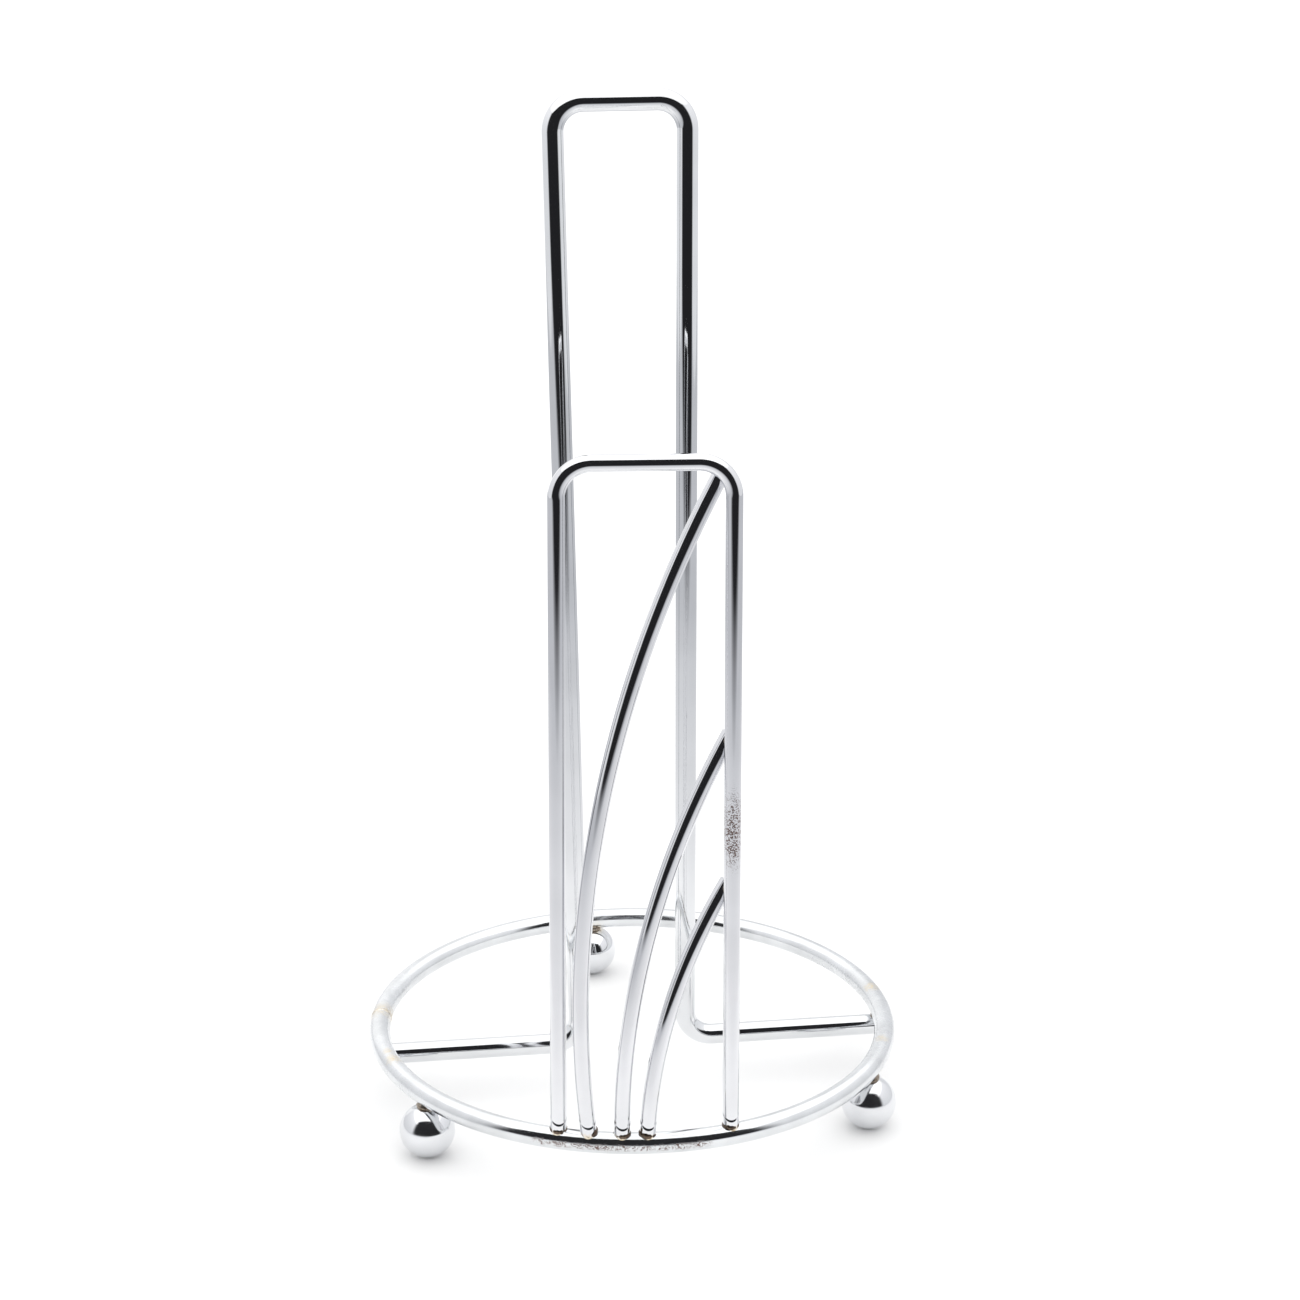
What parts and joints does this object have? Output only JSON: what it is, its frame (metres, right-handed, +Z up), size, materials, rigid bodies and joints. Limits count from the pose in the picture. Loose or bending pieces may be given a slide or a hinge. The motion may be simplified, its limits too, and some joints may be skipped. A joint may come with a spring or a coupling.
{
  "type": "paper towel holder",
  "caption": "Upright holder for a roll of paper towels: a wire loop spindle on a round wire base with ball feet, and a wire guard with curved wires at the front.",
  "frame": {"origin": "centre of the base ring, on the surface that the three ball feet stand on", "axes": "+Z up along the roll's axis; +X along the spindle's crossbar, to the right seen from the guard; -Y to the front, where the guard stands"},
  "size_m": [0.1644, 0.1694, 0.31],
  "materials": {
    "ring_chrome": "bright chrome plate on 6.35 mm steel wire, lightly worn",
    "spindle_chrome": "bright chrome plate on 6.35 mm steel wire",
    "guard_chrome": "bright chrome plate on 4.76 mm steel wire, pitted on one leg",
    "ball_chrome": "bright chrome plate on steel balls",
    "weld_bead": "plated-over weld bead with straw-brown heat tint"
  },
  "bodies": {
    "root": {"ball_foot_back": "ball_chrome", "ball_foot_front_left": "ball_chrome", "ball_foot_front_right": "ball_chrome", "ball_weld_back": "weld_bead", "ball_weld_front_left": "weld_bead", "ball_weld_front_right": "weld_bead", "base_ring": "ring_chrome", "crossbar_weld_left": "weld_bead", "crossbar_weld_right": "weld_bead", "guard_foot_weld_left": "weld_bead", "guard_foot_weld_right": "weld_bead", "guard_frame": "guard_chrome", "guard_wire_foot_weld_long": "weld_bead", "guard_wire_foot_weld_middle": "weld_bead", "guard_wire_foot_weld_short": "weld_bead", "guard_wire_long": "guard_chrome", "guard_wire_middle": "guard_chrome", "guard_wire_short": "guard_chrome", "guard_wire_top_weld_long": "weld_bead", "guard_wire_top_weld_middle": "weld_bead", "guard_wire_top_weld_short": "weld_bead", "ring_seam_weld": "weld_bead", "spindle_wire": "spindle_chrome"}
  },
  "joints": []
}
